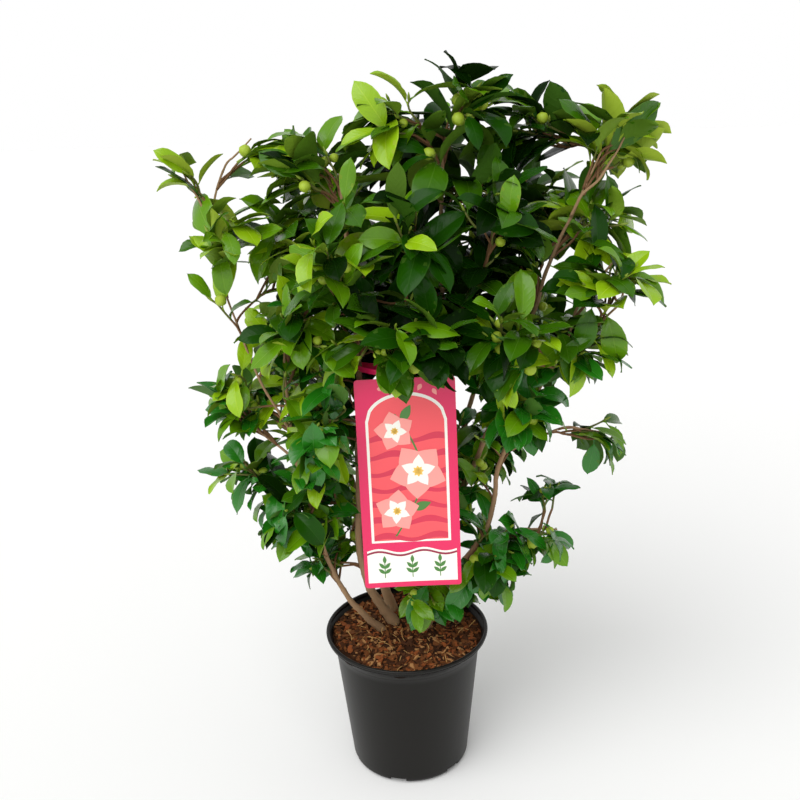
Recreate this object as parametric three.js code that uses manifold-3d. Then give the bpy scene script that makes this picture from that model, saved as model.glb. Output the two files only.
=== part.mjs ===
// A young camellia shrub in its round plastic nursery pot, with a plain picture card hung on one stem.
// Millimetres, +Z up. The origin is the centre of the pot's flat underside; -Y is the shrub's front.

import * as THREE from "three";
import { mergeVertices } from "three/addons/utils/BufferGeometryUtils.js";
import Module from "manifold-3d";

const wasm = await Module();
wasm.setup();

// ---------------------------------------------------------------- driving dimensions

const GAP = 0.4; // clearance kept between neighbouring pieces

const POT = {
  height: 152,
  lipRadius: 85,
  lipDepth: 4, // height of the rolled edge
  collarRadius: 75.5, // wall radius just below the flared collar
  collarDepth: 16, // from the top of the lip down to the straight wall
  footRadius: 62,
  footRound: 7,
  wall: 1.8,
  floor: 2.6,
  sides: 34,
};
const SLOT = { count: 6, first: -104, width: 18, height: 6.5, depth: 14 }; // drainage slots in the foot

const SOIL = { top: 145.5, unevenness: 1.8, flatRadius: 64 };

// The card hangs in front, its top tipped back, from a tongue of its own that loops round a stem.
const CARD = { width: 91, height: 202, thickness: 0.8, corner: 3, centre: [6.5, -72, 345], turn: 0.75, lean: 5 };
const TONGUE = { shift: -10, width: 10, height: 9, loopHeight: 5, loopHalfWidth: 7, slack: 5 };

const LIMB_SIDES = 7;
const LIMB_STEP = 44; // length of one straight stretch of a limb

const MASS_DETAIL = 1; // subdivisions of the icosahedron under each mass of leaves
const MASS_UNEVENNESS = 0.17;

// Limbs: the points each one grows through, and its thickness at the foot and at the tip.
const STEMS = {
  stem_left: {
    through: [[-20, 12, 134], [-44, -12, 174], [-61, -26, 208], [-79, -42, 268], [-92, -48, 333],
              [-100, -50, 400], [-104, -44, 458]],
    thick: [7.8, 3.6],
  },
  stem_front: {
    through: [[-9, 24, 134], [-30, 6, 180], [-43, -18, 240], [-42, -38, 337], [-36, -42, 440],
              [-39, -34, 512], [-43, -22, 600], [-45, -20, 622]],
    thick: [11, 5],
  },
  stem_centre: {
    through: [[3, 34, 134], [15, 26, 240], [31, 22, 330], [40, 12, 410], [44, 4, 500], [44, 0, 580],
              [47, -3, 640]],
    thick: [11, 3.5],
  },
  stem_right: {
    through: [[15, 26, 134], [36, 24, 232], [61, 26, 293], [99, 16, 389], [126, 4, 477], [146, -3, 538],
              [162, -6, 580]],
    thick: [10, 4],
  },
  stem_right_low: {
    through: [[14, 8, 134], [50, -2, 211], [82, -9, 265], [100, -15, 351], [128, -16, 408],
              [152, -20, 449], [168, -24, 500]],
    thick: [9, 4],
  },
  stem_back_left: {
    through: [[-13, 42, 134], [-36, 62, 230], [-70, 84, 340], [-88, 84, 440], [-84, 76, 545]],
    thick: [11, 4],
  },
  stem_back_right: {
    through: [[17, 44, 134], [38, 70, 240], [72, 94, 350], [98, 96, 460], [104, 86, 570]],
    thick: [11, 4],
  },
};

// Boughs: each starts beside a stem or a mass, and ends where it enters the mass round its tip.
const BOUGHS = {
  bough_left_shoot: {
    through: [[-99, -50, 388], [-117, -47, 421], [-130, -42, 456], [-148, -30, 497], [-156, -22, 540],
              [-160, -20, 556]],
    thick: [3.6, 2.2],
  },
  bough_right_fork: {
    through: [[162, -6, 578], [171, -6, 594], [186, -6, 609], [200, -6, 626]],
    thick: [4, 2.6],
  },
  bough_right_arm: {
    through: [[150, -20, 446], [176, -26, 470], [196, -30, 494], [214, -32, 514]],
    thick: [4, 2.4],
  },
  bough_right_tip: {
    through: [[100, -15, 350], [128, -14, 362], [158, -4, 370], [188, 10, 362]],
    thick: [4, 2.2],
  },
  bough_right_spray: {
    through: [[70, -4, 243], [92, -4, 252], [118, -2, 262], [142, 0, 262]],
    thick: [4, 2.2],
  },
  bough_left_low: {
    through: [[-80, -42, 272], [-98, -34, 282], [-118, -24, 300], [-140, -14, 330]],
    thick: [4, 2.2],
  },
  bough_left_side: {
    through: [[-96, -48, 356], [-114, -36, 372], [-136, -24, 388], [-158, -12, 400]],
    thick: [4, 2.2],
  },
  bough_left_arch: {
    through: [[-156, -18, 572], [-160, -4, 606], [-152, 8, 628], [-132, 16, 640]],
    thick: [3, 2.2],
  },
  bough_left_tip: {
    through: [[-160, -18, 566], [-172, -12, 600], [-186, -8, 620]],
    thick: [3, 2.2],
  },
};

// Masses of leaves: centre, and reach from it across (X), front to back (Y) and up (Z).
const MASSES = {
  foliage_top_spire: [[68, -5, 680], [44, 44, 45]],
  foliage_top_left: [[9, -15, 668], [37, 44, 46]],
  foliage_top_back: [[132, 42, 651], [46, 46, 44]],
  foliage_right_shoulder: [[202, 10, 645], [52, 48, 46]],
  foliage_right_upper: [[184, 14, 568], [53, 46, 45]],
  foliage_right_arm: [[202, -46, 527], [62, 42, 33]],
  foliage_right_middle: [[169, -26, 464], [46, 48, 33]],
  foliage_right_tip: [[202, 18, 354], [28, 35, 41]],
  foliage_right_lower: [[114, -46, 407], [37, 46, 40]],
  foliage_right_spray: [[148, 22, 291], [29, 31, 18]],
  foliage_right_low_spray: [[143, -8, 253], [32, 34, 20]],
  foliage_right_foot: [[86, -16, 243], [40, 46, 72]],
  foliage_middle_foot: [[20, -20, 199], [50, 34, 36]],
  foliage_left_shoulder: [[-71, -8, 627], [56, 50, 42]],
  foliage_left_arch: [[-128, 18, 638], [24, 26, 24]],
  foliage_left_tip: [[-186, -8, 624], [28, 32, 26]],
  foliage_left_upper: [[-152, -20, 571], [36, 42, 41]],
  foliage_left_inner: [[-104, 20, 560], [43, 50, 50]],
  foliage_left_side: [[-93, -50, 490], [38, 50, 44]],
  foliage_left_low_tip: [[-149, -22, 415], [46, 44, 34]],
  foliage_left_lower: [[-149, -18, 345], [49, 46, 26]],
  foliage_left_foot: [[-104, -44, 312], [49, 50, 43]],
  foliage_left_stem_foot: [[-59, 8, 259], [24, 34, 42]],
  foliage_left_foot_tip: [[-86, -30, 246], [25, 28, 20]],
  foliage_front_left_high: [[-52, -78, 556], [42, 46, 52]],
  foliage_front_high: [[14, -74, 580], [42, 46, 56]],
  foliage_front_centre: [[14, -98, 488], [60, 42, 50]],
  foliage_front_right: [[95, -68, 473], [51, 46, 59]],
  foliage_front_right_high: [[100, -48, 586], [46, 44, 54]],
  foliage_front_left_low: [[-78, -70, 392], [44, 44, 60]],
  foliage_core_low: [[14, 34, 306], [62, 60, 84]],
  foliage_core_middle: [[-4, 30, 466], [76, 62, 76]],
  foliage_core_right: [[92, 38, 538], [60, 42, 62]],
  foliage_back_high: [[30, 104, 616], [64, 54, 62]],
  foliage_back_left_high: [[-64, 104, 562], [52, 54, 62]],
  foliage_back_right_high: [[138, 98, 572], [62, 54, 62]],
  foliage_back_middle: [[22, 138, 488], [68, 52, 66]],
  foliage_back_left: [[-106, 100, 434], [62, 56, 66]],
  foliage_back_right: [[144, 96, 436], [60, 54, 68]],
  foliage_back_left_low: [[-86, 94, 318], [54, 52, 54]],
  foliage_back_right_low: [[90, 100, 318], [60, 52, 58]],
};

// ---------------------------------------------------------------- materials

const finish = (color, roughness, metalness = 0) =>
  new THREE.MeshStandardMaterial({ color, roughness, metalness });

const materials = {
  pot: finish(0x24231f, 0.55),
  soil: finish(0x4a3020, 0.95),
  bark: finish(0x75543a, 0.85),
  leaves: finish(0x2f5f16, 0.45),
  card: finish(0xe8365f, 0.4),
};

// ---------------------------------------------------------------- solids

// The closed solid of a geometry, with its shared corners merged.
function solidOf(geometry) {
  const bare = geometry.index ? geometry.toNonIndexed() : geometry;
  const places = new THREE.BufferGeometry().setAttribute("position", bare.getAttribute("position"));
  const merged = mergeVertices(places, 1e-3);
  const solid = new wasm.Manifold(
    new wasm.Mesh({
      numProp: 3,
      vertProperties: merged.attributes.position.array,
      triVerts: new Uint32Array(merged.index.array),
    }),
  );
  return solid;
}

function geometryOf(solid) {
  const mesh = solid.getMesh();
  const places = new Float32Array(mesh.numVert * 3);
  for (let i = 0; i < mesh.numVert; i++) {
    const at = i * mesh.numProp;
    places.set(mesh.vertProperties.subarray(at, at + 3), i * 3);
  }
  return new THREE.BufferGeometry()
    .setAttribute("position", new THREE.BufferAttribute(places, 3))
    .setIndex(new THREE.BufferAttribute(mesh.triVerts, 1));
}

// A cut can leave crumbs behind: only the largest body is kept.
function largest(solid) {
  const bodies = solid.decompose();
  bodies.sort((a, b) => b.volume() - a.volume());
  return bodies[0];
}

// Moves every corner of a geometry by a rule that takes and returns a Vector3.
function reshape(geometry, rule) {
  const places = geometry.getAttribute("position");
  const point = new THREE.Vector3();
  for (let i = 0; i < places.count; i++) {
    point.fromBufferAttribute(places, i);
    const moved = rule(point);
    places.setXYZ(i, moved.x, moved.y, moved.z);
  }
  return geometry;
}

const box = (width, depth, height, x, y, z) =>
  new THREE.BoxGeometry(width, depth, height).translate(x, y, z);

// ---------------------------------------------------------------- pot and soil

// Radius of the pot's outer wall at a height on its straight stretch.
function wallRadius(height) {
  const top = POT.height - POT.collarDepth;
  const share = (height - POT.footRound) / (top - POT.footRound);
  return POT.footRadius + (POT.collarRadius - POT.footRadius) * share;
}

function lathe(profile) {
  const points = profile.map(([radius, height]) => new THREE.Vector2(radius, height));
  return new THREE.LatheGeometry(points, POT.sides).rotateX(Math.PI / 2);
}

function potSolid() {
  const profile = [[0, 0]];
  for (let i = 0; i <= 2; i++) {
    const turn = (i / 2) * (Math.PI / 2);
    profile.push([
      POT.footRadius - POT.footRound * (1 - Math.sin(turn)),
      POT.footRound * (1 - Math.cos(turn)),
    ]);
  }
  const collar = POT.height - POT.collarDepth;
  const flare = POT.lipRadius - POT.collarRadius;
  profile.push([wallRadius(collar), collar]);
  profile.push([POT.collarRadius + flare * 0.22, collar + POT.collarDepth * 0.3]);
  profile.push([POT.collarRadius + flare * 0.66, collar + POT.collarDepth * 0.6]);
  profile.push([POT.lipRadius, POT.height - POT.lipDepth]);
  profile.push([POT.lipRadius - 0.4, POT.height]);
  profile.push([POT.lipRadius - 2.2, POT.height]);
  profile.push([POT.collarRadius + flare * 0.5, POT.height - POT.collarDepth * 0.4]);
  profile.push([wallRadius(collar) - POT.wall, collar]);
  profile.push([wallRadius(POT.footRound) - POT.wall, POT.footRound]);
  profile.push([POT.footRadius - POT.footRound, POT.floor]);
  profile.push([0, POT.floor]);

  let pot = solidOf(lathe(profile));
  for (let i = 0; i < SLOT.count; i++) {
    const bearing = THREE.MathUtils.degToRad(SLOT.first + (360 / SLOT.count) * i);
    const cutter = box(SLOT.depth, SLOT.width, 2 * SLOT.height, POT.footRadius - 2, 0, 0).rotateZ(bearing);
    pot = pot.subtract(solidOf(cutter));
  }
  return largest(pot);
}

// The root ball: it fills the pot, with an uneven top that is flat where the stems stand.
function soilSolid() {
  const collar = POT.height - POT.collarDepth;
  const inside = (height) => wallRadius(height) - POT.wall - GAP;
  const bottom = POT.floor + GAP;
  const rim = SOIL.top - 1;
  const profile = [
    [0, bottom],
    [POT.footRadius - POT.footRound - GAP, bottom],
    [inside(POT.footRound) - 0.4, POT.footRound + 0.6],
    [inside(collar), collar],
    [POT.collarRadius + 2.4, rim],
  ];
  for (const share of [0.97, 0.84, 0]) profile.push([POT.collarRadius * share, SOIL.top]);
  const uneven = (point) => {
    const radius = Math.hypot(point.x, point.y);
    if (point.z < rim + 0.5 || radius < SOIL.flatRadius) return point;
    const bearing = Math.atan2(point.y, point.x);
    const wave = Math.sin(5 * bearing + 0.7) + 0.7 * Math.sin(11 * bearing + radius / 6);
    point.z += (SOIL.unevenness * wave) / 1.7;
    return point;
  };
  return solidOf(reshape(lathe(profile), uneven));
}

const belowGround = () =>
  solidOf(box(4 * POT.lipRadius, 4 * POT.lipRadius, 100, 0, 0, SOIL.top + GAP - 50));

// ---------------------------------------------------------------- limbs

// A tapering limb along a smooth curve, made by bending a cylinder onto it. grow adds to its radius.
function limbSolid({ through, thick }, flare, grow = 0) {
  const curve = new THREE.CatmullRomCurve3(through.map((p) => new THREE.Vector3(...p)), false, "centripetal");
  const length = curve.getLength();
  const steps = Math.max(3, Math.round(length / LIMB_STEP));
  const frames = curve.computeFrenetFrames(steps, false);
  const spots = curve.getSpacedPoints(steps);
  const cylinder = new THREE.CylinderGeometry(1, 1, steps, LIMB_SIDES, steps);
  const bend = (point) => {
    const step = Math.round(point.y + steps / 2);
    const share = step / steps;
    const taper = (thick[0] + (thick[1] - thick[0]) * Math.pow(share, 0.8)) / 2;
    const radius = taper * (1 + flare * Math.exp((-share * length) / 14)) + grow;
    return new THREE.Vector3()
      .copy(spots[step])
      .addScaledVector(frames.normals[step], -point.x * radius)
      .addScaledVector(frames.binormals[step], point.z * radius);
  };
  return solidOf(reshape(cylinder, bend));
}

// ---------------------------------------------------------------- masses of leaves

// A number from 0 to 1 that depends only on the name and the key.
function chance(name, key) {
  let mixed = 2166136261 ^ key;
  for (const letter of name) mixed = Math.imul(mixed ^ letter.charCodeAt(0), 16777619);
  mixed ^= mixed >>> 13;
  mixed = Math.imul(mixed, 2654435761);
  return ((mixed ^ (mixed >>> 16)) >>> 0) / 4294967296;
}

// One closed, uneven solid: an ellipsoid with lumps of its own. grow adds to its reach.
function massSolid(name, [centre, reach], grow = 0) {
  const lumps = [1, 2, 3, 4, 5].map((k) => ({
    way: new THREE.Vector3(
      chance(name, k) - 0.5,
      chance(name, k + 20) - 0.5,
      chance(name, k + 40) - 0.5,
    ).normalize(),
    pitch: 2.2 + 2.6 * chance(name, k + 60),
    shift: 6.28 * chance(name, k + 80),
  }));
  const uneven = (point) => {
    const way = point.clone().normalize();
    let swell = 0;
    for (const lump of lumps) swell += Math.sin(lump.pitch * way.dot(lump.way) * 2 + lump.shift);
    const size = 1 - MASS_UNEVENNESS * 0.5 + (MASS_UNEVENNESS * swell) / lumps.length;
    return new THREE.Vector3(
      centre[0] + way.x * (reach[0] * size + grow),
      centre[1] + way.y * (reach[1] * size + grow),
      centre[2] + way.z * (reach[2] * size + grow),
    );
  };
  return solidOf(reshape(new THREE.IcosahedronGeometry(1, MASS_DETAIL), uneven));
}

// ---------------------------------------------------------------- picture card

// The card with its tongue, and the loop that the tongue makes round the front stem. grow thickens it all.
function cardSolid(grow = 0) {
  const right = CARD.width / 2 + grow;
  const top = CARD.height / 2 + grow;
  const round = CARD.corner;
  const tongueLeft = TONGUE.shift - TONGUE.width / 2 - grow;
  const tongueRight = TONGUE.shift + TONGUE.width / 2 + grow;
  const outline = new THREE.Shape();
  outline.moveTo(round - right, -top);
  outline.lineTo(right - round, -top);
  outline.quadraticCurveTo(right, -top, right, round - top);
  outline.lineTo(right, top - round);
  outline.quadraticCurveTo(right, top, right - round, top);
  outline.lineTo(tongueRight, top);
  outline.lineTo(tongueRight, top + TONGUE.height);
  outline.lineTo(tongueLeft, top + TONGUE.height);
  outline.lineTo(tongueLeft, top);
  outline.lineTo(round - right, top);
  outline.quadraticCurveTo(-right, top, -right, top - round);
  outline.lineTo(-right, round - top);
  outline.quadraticCurveTo(-right, -top, round - right, -top);

  const thickness = CARD.thickness + 2 * grow;
  const plate = new THREE.ExtrudeGeometry(outline, { depth: thickness, bevelEnabled: false, curveSegments: 2 })
    .translate(0, 0, -thickness / 2)
    .rotateX(Math.PI / 2 - THREE.MathUtils.degToRad(CARD.lean))
    .rotateY(THREE.MathUtils.degToRad(-CARD.turn))
    .translate(...CARD.centre);

  const lean = THREE.MathUtils.degToRad(CARD.lean);
  const rise = CARD.height / 2 + TONGUE.height - TONGUE.loopHeight / 2 - 1;
  const start = new THREE.Vector3(
    CARD.centre[0] + TONGUE.shift,
    CARD.centre[1] + rise * Math.sin(lean),
    CARD.centre[2] + rise * Math.cos(lean),
  );
  const stem = new THREE.Vector3(...STEMS.stem_front.through[4]).setZ(start.z);
  const way = stem.clone().sub(start);
  const reach = (way.length() + TONGUE.slack) / 2;
  const middle = start.clone().addScaledVector(way.normalize(), reach);
  const section = (inset) =>
    new THREE.Shape().absellipse(0, 0, reach - inset, TONGUE.loopHalfWidth - inset, 0, 2 * Math.PI, false, 0);
  const band = section(-CARD.thickness / 2 - grow);
  band.holes.push(section(CARD.thickness / 2 + grow));
  const height = TONGUE.loopHeight + 2 * grow;
  const loop = new THREE.ExtrudeGeometry(band, { depth: height, bevelEnabled: false, curveSegments: 7 })
    .translate(0, 0, -height / 2)
    .rotateZ(Math.atan2(way.y, way.x))
    .translate(middle.x, middle.y, middle.z);
  return solidOf(plate).add(solidOf(loop));
}

// ---------------------------------------------------------------- assembly

const shrub = new THREE.Group();

function add(name, solid, material) {
  const mesh = new THREE.Mesh(geometryOf(solid), material);
  mesh.name = name;
  shrub.add(mesh);
}

add("pot", potSolid(), materials.pot);
add("potting_soil", soilSolid(), materials.soil);
add("picture_card", cardSolid(), materials.card);

// What each later piece has to stay clear of: pieces that stand already, each a little larger.
const taken = [cardSolid(GAP)];
const clearOf = (solid, others) =>
  others.reduce((left, other) => (left.intersect(other).volume() > 0 ? left.subtract(other) : left), solid);

const STEM_FLARE = 0.3;
for (const [name, limb] of Object.entries(STEMS)) {
  const stem = clearOf(limbSolid(limb, STEM_FLARE), [belowGround(), ...taken]);
  add(name, largest(stem), materials.bark);
  taken.push(limbSolid(limb, STEM_FLARE, GAP));
}

// A bough ends where it enters the mass round its tip.
const massRound = (point) =>
  Object.entries(MASSES).find(([, [centre, reach]]) =>
    centre.reduce((sum, c, axis) => sum + ((point[axis] - c) / reach[axis]) ** 2, 0) < 1);

for (const [name, limb] of Object.entries(BOUGHS)) {
  const target = massRound(limb.through.at(-1));
  if (!target) throw new Error(name + " ends in no mass");
  const bough = clearOf(limbSolid(limb, 0), [...taken, massSolid(...target, GAP)]);
  add(name, largest(bough), materials.bark);
  taken.push(limbSolid(limb, 0, GAP).subtract(massSolid(...target, 0)));
}

for (const [name, form] of Object.entries(MASSES)) {
  add(name, largest(clearOf(massSolid(name, form), taken)), materials.leaves);
  taken.push(massSolid(name, form, GAP));
}

export default shrub;
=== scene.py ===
"""The looks of a young camellia shrub in its nursery pot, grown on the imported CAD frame.

Each stem and bough gets a bark mesh along its own centre line. Twigs then grow from the limbs into every
mass of leaves by a seeded rule, and leaves and buds sit on the twigs in a spiral. Metres throughout.
"""

import math

import bpy
import numpy as np
from mathutils import Matrix, Vector
from numpy.linalg import norm


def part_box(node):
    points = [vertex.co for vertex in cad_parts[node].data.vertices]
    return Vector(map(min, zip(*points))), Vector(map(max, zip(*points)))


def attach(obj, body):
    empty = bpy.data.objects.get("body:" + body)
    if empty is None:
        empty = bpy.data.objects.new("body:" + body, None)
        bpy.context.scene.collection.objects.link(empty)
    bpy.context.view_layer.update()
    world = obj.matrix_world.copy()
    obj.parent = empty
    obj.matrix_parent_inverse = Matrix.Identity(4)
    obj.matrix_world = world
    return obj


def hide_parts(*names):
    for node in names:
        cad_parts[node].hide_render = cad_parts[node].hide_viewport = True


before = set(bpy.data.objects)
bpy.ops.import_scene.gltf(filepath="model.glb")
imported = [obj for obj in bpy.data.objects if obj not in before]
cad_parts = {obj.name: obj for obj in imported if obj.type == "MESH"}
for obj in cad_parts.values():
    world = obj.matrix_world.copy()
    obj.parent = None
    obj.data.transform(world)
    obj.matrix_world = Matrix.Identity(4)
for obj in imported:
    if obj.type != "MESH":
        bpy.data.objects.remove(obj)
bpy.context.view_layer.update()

MM = 0.001
UP = np.array([0.0, 0.0, 1.0])
GOLDEN_ANGLE = math.radians(137.508)
TURN = 2 * math.pi

KINDS = ("stem_", "bough_", "foliage_")
STEMS, BOUGHS, MASSES = (sorted(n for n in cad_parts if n.startswith(kind)) for kind in KINDS)
LIMBS = STEMS + BOUGHS

# ---- vectors and curves

SPLINE_STEPS = 24  # points from one knot of a smooth curve to the next, before they are evened out
WAVES_EACH = 3  # sine waves in each octave of noise
WAVE_FADE = 1.7  # how much weaker each octave is than the one before
WAVE_PEAK = 1.6  # what an octave's sum may reach before it is clipped


def unit(v):
    """v, or each row of v, at length 1."""
    v = np.asarray(v, float)
    return v / np.maximum(norm(v, axis=-1, keepdims=True), 1e-12)


def across(v, way):
    """The part of v that is square to a direction, at length 1."""
    return unit(v - np.sum(v * way, axis=-1, keepdims=True) * way)


def waves(points, pitch, seed, octaves=3):
    """Smooth noise from -1 to 1 at each point, made of sine waves in random directions."""
    rule = np.random.default_rng(seed)
    total = np.zeros(len(points))
    weight = 0.0
    for octave in range(octaves):
        for _ in range(WAVES_EACH):
            way = unit(rule.normal(size=3)) * TURN / pitch * 2**octave
            total += np.sin(points @ way + rule.uniform(0, TURN)) / WAVE_FADE**octave
        weight += WAVE_PEAK / WAVE_FADE**octave
    return np.clip(total / weight, -1, 1)


def run_along(path):
    """Distance from the start of a path to each of its points."""
    return np.concatenate([[0], np.cumsum(norm(np.diff(path, axis=0), axis=1))])


def sample(path, run, at):
    """The points of a path at given distances along it."""
    return np.stack([np.interp(at, run, path[:, k]) for k in range(path.shape[1])], axis=-1)


def smooth_path(knots, step):
    """Points a step apart along a smooth curve through the knots, with their share of the way along it."""
    knots = np.asarray(knots, float)
    padded = np.vstack([2 * knots[0] - knots[1], knots, 2 * knots[-1] - knots[-2]])
    t = np.linspace(0, 1, SPLINE_STEPS, endpoint=False)[:, None]
    dense = []
    for a, b, c, d in zip(padded, padded[1:], padded[2:], padded[3:]):
        bend = 2 * a - 5 * b + 4 * c - d
        dense.append(0.5 * (2 * b + (c - a) * t + bend * t**2 + (3 * b - a - 3 * c + d) * t**3))
    dense = np.vstack([*dense, knots[-1:]])
    run = run_along(dense)
    share = np.linspace(0, 1, max(3, round(run[-1] / step) + 1))
    return sample(dense, run, share * run[-1]), share


def tangents(path):
    """The way a path runs at each of its points."""
    return unit(np.gradient(path, axis=0))


def girths(knots, radii, share):
    """Radii given at the knots of a path, read at shares of the way along it."""
    run = run_along(knots)
    return np.interp(share, run / run[-1], radii)


# ---- meshes from arrays


def new_object(name, data):
    """An object of the scene that holds a mesh, a light or a camera."""
    made = bpy.data.objects.new(name, data)
    bpy.context.scene.collection.objects.link(made)
    return made


class Bundle:
    """Gathers many small shapes into the arrays of one mesh."""

    def __init__(self):
        self.points, self.uvs, self.faces, self.marks = [], [], [], []
        self.count = 0

    def add(self, points, faces, marks, uvs=None):
        """Takes arrays of faces, and one material number, or for each array one number or one per face."""
        points = np.asarray(points, float).reshape(-1, 3)
        for part, mark in zip(faces, [marks] * len(faces) if isinstance(marks, int) else marks):
            self.faces.append(np.asarray(part, int) + self.count)
            self.marks.append(np.broadcast_to(mark, len(part)))
        self.points.append(points)
        self.uvs.append(np.zeros((len(points), 2)) if uvs is None else uvs)
        self.count += len(points)
        return self

    def piece(self, name, finishes, slot, replaced=(), sharp=None):
        """The mesh object, hung on the root body, hiding the CAD parts it replaces. Edges over the sharp
        angle, if given, are not smoothed.
        """
        mesh = bpy.data.meshes.new(name)
        mesh.from_pydata(np.vstack(self.points), [], [face for part in self.faces for face in part.tolist()])
        mesh.polygons.foreach_set("material_index", np.concatenate(self.marks).astype(np.int32))
        mesh.shade_smooth()
        corners = np.concatenate([part.ravel() for part in self.faces])
        layer = mesh.uv_layers.new(name="UVMap")
        layer.data.foreach_set("uv", np.vstack(self.uvs)[corners].astype(np.float32).ravel())
        if sharp:
            mesh.set_sharp_from_angle(angle=math.radians(sharp))
        for finish in finishes:
            mesh.materials.append(finish.material)
        piece = new_object(name, mesh)
        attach(piece, "root")
        if replaced:
            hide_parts(*replaced)
        return piece


def grid_faces(rows, columns, ring=False, loop=False):
    """Quads of a grid of points. In a ring each row is closed. In a loop the last row joins the first."""
    i, j = np.meshgrid(np.arange(rows - 1 + loop), np.arange(columns - 1 + ring), indexing="ij")
    below, beside = (i + 1) % rows, (j + 1) % columns
    quads = [i * columns + j, i * columns + beside, below * columns + beside, below * columns + j]
    return np.stack(quads, axis=-1).reshape(-1, 4)


def tube(path, radii, sides, seam=(0.3, 0.9, 0.31)):
    """A tube's points and its faces: the sides, then the fan over each end. Its seam runs on one side."""
    ways = tangents(path)
    side = across(np.array(seam), ways[0])
    turn = np.arange(sides)[:, None] * TURN / sides
    rings = []
    for centre, way, radius in zip(path, ways, radii):
        side = across(side, way)
        rings.append(centre + (np.cos(turn) * side + np.sin(turn) * np.cross(way, side)) * radius)
    points = np.vstack([*rings, path[:1], path[-1:]])
    hub = len(path) * sides
    last = hub - sides
    j = np.arange(sides)
    k = (j + 1) % sides
    ends = ([k, j, np.full(sides, hub)], [last + j, last + k, np.full(sides, hub + 1)])
    return points, [grid_faces(len(path), sides, ring=True), *(np.stack(end, axis=1) for end in ends)]


def turned(profile, sides):
    """A profile of radius and height turned about the Z axis, as closed rings."""
    turn = np.arange(sides) * TURN / sides
    radius, height = np.asarray(profile, float).T[:, :, None]
    points = np.stack([radius * np.cos(turn), radius * np.sin(turn), height + 0 * turn], axis=-1)
    return points.reshape(-1, 3), grid_faces(len(profile), sides, ring=True)


# ---- materials

GRAIN_DETAIL = 4.0
VEIN_PAIRS = 8
VEIN_SLANT = 0.45
VEIN_SHARPNESS = 4.0


def srgb(red, green, blue):
    """Linear colour of an everyday 0-255 colour."""
    channels = [c / 255 for c in (red, green, blue)]
    return [c / 12.92 if c <= 0.04045 else ((c + 0.055) / 1.055) ** 2.4 for c in channels] + [1.0]


def add_node(tree, kind, inputs=(), output=0, **settings):
    """One output of a new node, whose inputs, by name or number, are linked or given a value."""
    made = tree.nodes.new(kind)
    for name, value in settings.items():
        setattr(made, name, value)
    for socket, source in dict(inputs).items():
        if isinstance(source, bpy.types.NodeSocket):
            tree.links.new(source, made.inputs[socket])
        else:
            made.inputs[socket].default_value = source
    return made.outputs[output]


class Finish:
    """A procedural material with a plain colour and a little relief."""

    def __init__(self, name, colour, roughness, specular=0.5, coat=0.0):
        self.material = bpy.data.materials.new(name)
        self.material.use_nodes = True
        self.tree = self.material.node_tree
        self.shader = self.tree.nodes["Principled BSDF"]
        settings = {
            "Base Color": srgb(*colour),
            "Roughness": roughness,
            "Specular IOR Level": specular,
            "Coat Weight": coat,
            "Coat Roughness": 0.2,
        }
        for socket, value in settings.items():
            self.shader.inputs[socket].default_value = value

    def math(self, operation, *sources):
        """The result of one sum."""
        return add_node(self.tree, "ShaderNodeMath", enumerate(sources), operation=operation)

    def relief(self, height, depth, strength=1.0):
        """Relief of a depth in metres from a height between 0 and 1."""
        settings = {"Height": height, "Distance": depth, "Strength": strength}
        bump = add_node(self.tree, "ShaderNodeBump", settings)
        self.tree.links.new(bump, self.shader.inputs["Normal"])
        return self

    def grain(self, scale, depth, strength=1.0):
        """Uneven relief, finer for a larger scale."""
        place = add_node(self.tree, "ShaderNodeTexCoord", output="Object")
        settings = {"Vector": place, "Scale": scale, "Detail": GRAIN_DETAIL}
        return self.relief(add_node(self.tree, "ShaderNodeTexNoise", settings, "Fac"), depth, strength)

    def veins(self, depth):
        """Side veins that leave the midrib at a slant, from the leaf's own U across and V along."""
        place = add_node(self.tree, "ShaderNodeTexCoord", output="UV")
        u = add_node(self.tree, "ShaderNodeSeparateXYZ", {0: place}, "X")
        aside = self.math("ABSOLUTE", self.math("SUBTRACT", u, 0.5))
        along = self.math("MULTIPLY_ADD", aside, -VEIN_SLANT, u.node.outputs["Y"])
        wave = self.math("SINE", self.math("MULTIPLY", along, VEIN_PAIRS * TURN))
        crest = self.math("MULTIPLY_ADD", wave, 0.5, 0.5)
        return self.relief(self.math("POWER", crest, VEIN_SHARPNESS), depth)


# ---- centre lines of the CAD limbs

RING_GAP = 6 * MM  # neighbouring rings of a CAD limb lie further apart than this
FOOT_SPREAD = 1.25
TIP_RADIUS = 0.95 * MM
RUN_ON = 58 * MM
RUN_ON_SHARES = (0.35, 0.7, 1.0)  # where its points are, and how much of the taper is done at each
RUN_ON_TAPER = (0.4, 0.75, 1.0)
LOOK_AHEAD = 30 * MM
PRUNED = "stem_front"  # this one ends in a cut, and the others run on into a twig

mass_low, mass_high = np.array([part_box(name) for name in MASSES]).swapaxes(0, 1)
mass_centre = (mass_low + mass_high) / 2
mass_reach = (mass_high - mass_low) / 2
crown_low = mass_low.min(axis=0)
crown_high = mass_high.max(axis=0)
_, soil_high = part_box("potting_soil")
_, pot_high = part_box("pot")
SOIL_TOP = soil_high.z - 2 * MM
HEART = np.array([0.0, 0.02, SOIL_TOP])  # where the stems leave the soil


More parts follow.
